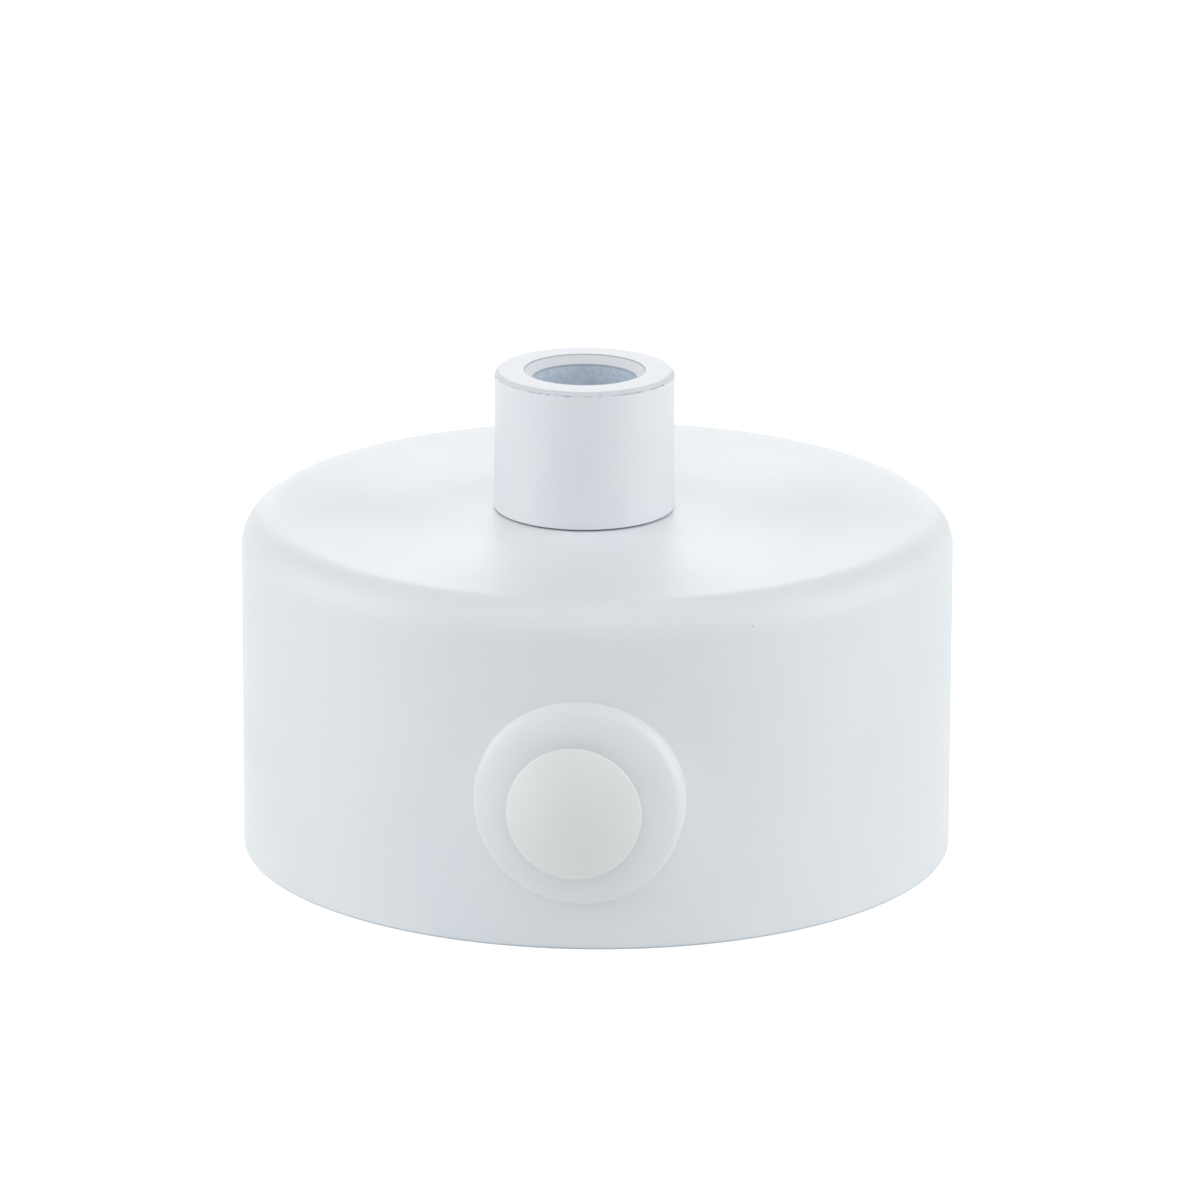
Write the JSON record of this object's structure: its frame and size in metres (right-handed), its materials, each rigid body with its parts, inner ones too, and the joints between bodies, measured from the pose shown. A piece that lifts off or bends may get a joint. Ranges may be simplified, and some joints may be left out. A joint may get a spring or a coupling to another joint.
{
  "type": "ceiling rose",
  "caption": "Round ceiling rose: a shallow cup with a rounded shoulder, a short cable collar on its flat top and a domed push switch on its wall.",
  "frame": {"origin": "centre of the cup's open rim, in the ceiling plane, which is also the underside of the bracket", "axes": "+Z out of the ceiling plane towards the cable collar, -Y towards the push button, X along the bracket"},
  "size_m": [0.08, 0.0865, 0.0547],
  "materials": {
    "cup_paint": "satin white powder coat",
    "collar_paint": "satin white paint on turned metal",
    "gasket": "matt",
    "zinc_steel": "bright zinc plate",
    "white_screw": "satin white",
    "spring_steel": "drawn wire",
    "brass": "plain",
    "terminal_nylon": "moulded nylon",
    "bezel_plastic": "satin moulded",
    "button_plastic": "satin moulded",
    "switch_plastic": "moulded thermoset"
  },
  "bodies": {
    "rose": {"rose_cup": "cup_paint", "collar": "collar_paint", "collar_gasket": "gasket", "collar_screw": "zinc_steel", "threaded_nipple": "zinc_steel", "flat_washer": "zinc_steel", "tooth_washer": "zinc_steel", "nipple_nut": "zinc_steel", "mounting_bracket": "zinc_steel", "side_screw_left": "white_screw", "side_screw_right": "white_screw", "earth_screw": "brass", "earth_washer": "brass", "terminal_block": "terminal_nylon", "wire_clamp_1": "brass", "wire_clamp_2": "brass", "wire_clamp_3": "brass", "clamp_screws": "zinc_steel", "block_screws": "zinc_steel", "switch_housing": "bezel_plastic", "switch_nut": "bezel_plastic", "return_spring": "spring_steel", "guide_plate": "switch_plastic", "fixed_contact_left": "brass", "fixed_contact_right": "brass", "switch_base": "switch_plastic"},
    "button": {"push_button": "button_plastic", "switch_plunger": "switch_plastic", "contact_bridge": "brass"}
  },
  "joints": [
    {"name": "button_press", "type": "slide", "parent": "rose", "child": "button", "axis": [0, 1, 0], "range_m": [0, 0.0012], "stiffness_N_per_m": 350, "springref_m": -0.003, "deforming": ["return_spring"]}
  ]
}
